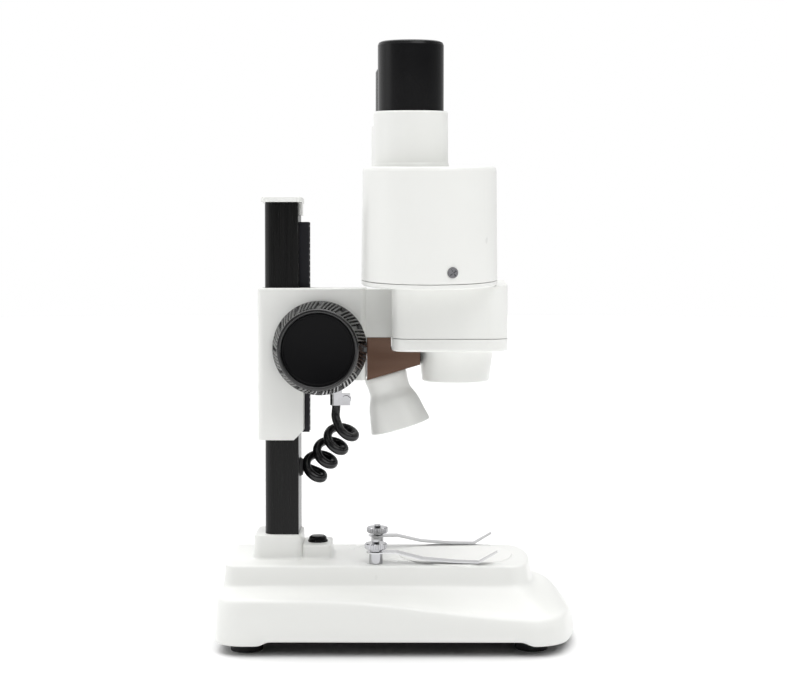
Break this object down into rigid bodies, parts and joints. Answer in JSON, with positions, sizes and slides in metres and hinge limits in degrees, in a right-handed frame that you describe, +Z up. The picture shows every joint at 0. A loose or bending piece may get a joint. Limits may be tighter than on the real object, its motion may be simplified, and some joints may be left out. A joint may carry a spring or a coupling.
{
  "type": "stereo microscope",
  "caption": "Low-power stereo microscope: lit base with stage plate and clips, rack-and-pinion focus on a column, twin eye housings, lamp on a curly cord.",
  "frame": {"origin": "centre of the overall box at the surface the rubber feet stand on", "axes": "+Z up the column, +X from the column to the front of the base, +Y to the right-hand eyepiece"},
  "size_m": [0.1546, 0.1208, 0.2572],
  "materials": {
    "white_plastic": "satin gloss, moulded",
    "black_plastic": "moulded, satin",
    "black_anodised": "satin black anodised extrusion",
    "black_gloss": "glossy disc",
    "rubber": "matte",
    "chrome": "bright plated",
    "steel": "plain",
    "spring_steel": "polished strip",
    "bracket_steel": "bright rolled sheet",
    "nylon": "plain",
    "glass": "coated",
    "cord": "glossy sheath",
    "cell": "plain sleeve",
    "board": "solder mask",
    "led": "clear dome",
    "stage_white": "fine matte",
    "rack_black": "moulded teeth"
  },
  "bodies": {
    "base": {"base_shell": "white_plastic", "base_plate": "black_plastic", "rubber_feet": "rubber", "base_plate_screws": "steel", "battery_tray": "black_plastic", "battery_cells": "cell", "battery_contacts": "spring_steel", "switch_body": "black_plastic", "switch_spring": "spring_steel", "driver_board": "board", "stage_plate": "stage_white", "clip_posts": "chrome", "column": "black_anodised", "column_bolts": "steel", "column_cap": "white_plastic", "cord_gland": "rubber", "rack": "rack_black", "rack_screws": "steel"},
    "battery_cover": {"battery_cover": "black_plastic"},
    "switch_button": {"switch_button": "black_plastic"},
    "clip_left": {"stage_clip_left": "spring_steel"},
    "clip_right": {"stage_clip_right": "spring_steel"},
    "clip_nut_left": {"clip_nut_left": "chrome"},
    "clip_nut_right": {"clip_nut_right": "chrome"},
    "carriage": {"carriage": "white_plastic", "slide_pads": "nylon", "shaft_bushes": "nylon", "optical_body": "white_plastic", "body_base": "white_plastic", "body_screws": "steel", "objective_cone": "white_plastic", "lens_mount": "black_plastic", "objective_lenses": "glass", "lamp_bracket": "bracket_steel", "bracket_screws": "chrome", "lamp_shade": "white_plastic", "lamp_led": "led", "cord_clamp": "chrome", "clamp_screw": "chrome", "cord_lead": "cord", "cord_coil": "cord"},
    "focus_drive": {"pinion_shaft": "steel", "focus_knob_left": "black_plastic", "focus_knob_right": "black_plastic", "knob_faces": "black_gloss"},
    "eye_housing_left": {"eye_housing_left": "white_plastic", "housing_base_left": "white_plastic", "housing_screw_left": "steel", "prisms_left": "glass", "eye_tube_left": "white_plastic"},
    "eyepiece_left": {"eyepiece_left": "black_plastic", "eyepiece_lenses_left": "glass"},
    "eye_housing_right": {"eye_housing_right": "white_plastic", "housing_base_right": "white_plastic", "housing_screw_right": "steel", "prisms_right": "glass", "eye_tube_right": "white_plastic"},
    "eyepiece_right": {"eyepiece_right": "black_plastic", "eyepiece_lenses_right": "glass"}
  },
  "joints": [
    {"name": "focus_slide", "type": "slide", "parent": "base", "child": "carriage", "axis": [0, 0, 1], "range_m": [-0.012, 0.03], "deforming": ["cord_coil"]},
    {"name": "knob_turn", "type": "hinge", "parent": "carriage", "child": "focus_drive", "pos_m": [-0.0335, 0, 0.1276], "axis": [0, 1, 0], "range_deg": [-290, 117]},
    {"name": "battery_cover_slide", "type": "slide", "parent": "base", "child": "battery_cover", "axis": [-1, 0, 0], "range_m": [0, 0.042]},
    {"name": "switch_press", "type": "slide", "parent": "base", "child": "switch_button", "axis": [0, 0, -1], "range_m": [0, 0.0015], "stiffness_N_per_m": 400, "springref_m": -0.0008, "deforming": ["switch_spring"]},
    {"name": "clip_swing_left", "type": "hinge", "parent": "base", "child": "clip_left", "pos_m": [-0.00945, -0.0194, 0.0402], "axis": [0, 0, 1], "range_deg": [-35, 18]},
    {"name": "clip_nut_turn_left", "type": "hinge", "parent": "base", "child": "clip_nut_left", "pos_m": [-0.00945, -0.0194, 0.0425], "axis": [0, 0, 1], "range_deg": [-180, 180]},
    {"name": "eye_turn_left", "type": "hinge", "parent": "carriage", "child": "eye_housing_left", "pos_m": [0.01315, -0.0292, 0.155], "axis": [0, -0.0698, 0.9976], "range_deg": [-23, 47]},
    {"name": "eyepiece_draw_left", "type": "slide", "parent": "eye_housing_left", "child": "eyepiece_left", "axis": [0, -0.0698, 0.9976], "range_m": [-0.0025, 0.018]},
    {"name": "clip_swing_right", "type": "hinge", "parent": "base", "child": "clip_right", "pos_m": [-0.00945, 0.0194, 0.0402], "axis": [0, 0, 1], "range_deg": [-18, 35]},
    {"name": "clip_nut_turn_right", "type": "hinge", "parent": "base", "child": "clip_nut_right", "pos_m": [-0.00945, 0.0194, 0.0425], "axis": [0, 0, 1], "range_deg": [-180, 180]},
    {"name": "eye_turn_right", "type": "hinge", "parent": "carriage", "child": "eye_housing_right", "pos_m": [0.01315, 0.0292, 0.155], "axis": [0, 0.0698, 0.9976], "range_deg": [-10, 60]},
    {"name": "eyepiece_draw_right", "type": "slide", "parent": "eye_housing_right", "child": "eyepiece_right", "axis": [0, 0.0698, 0.9976], "range_m": [0, 0.018]}
  ],
  "couplings": [
    {"joint": "knob_turn", "follows": "focus_slide", "rad_per_m": -166.67}
  ]
}
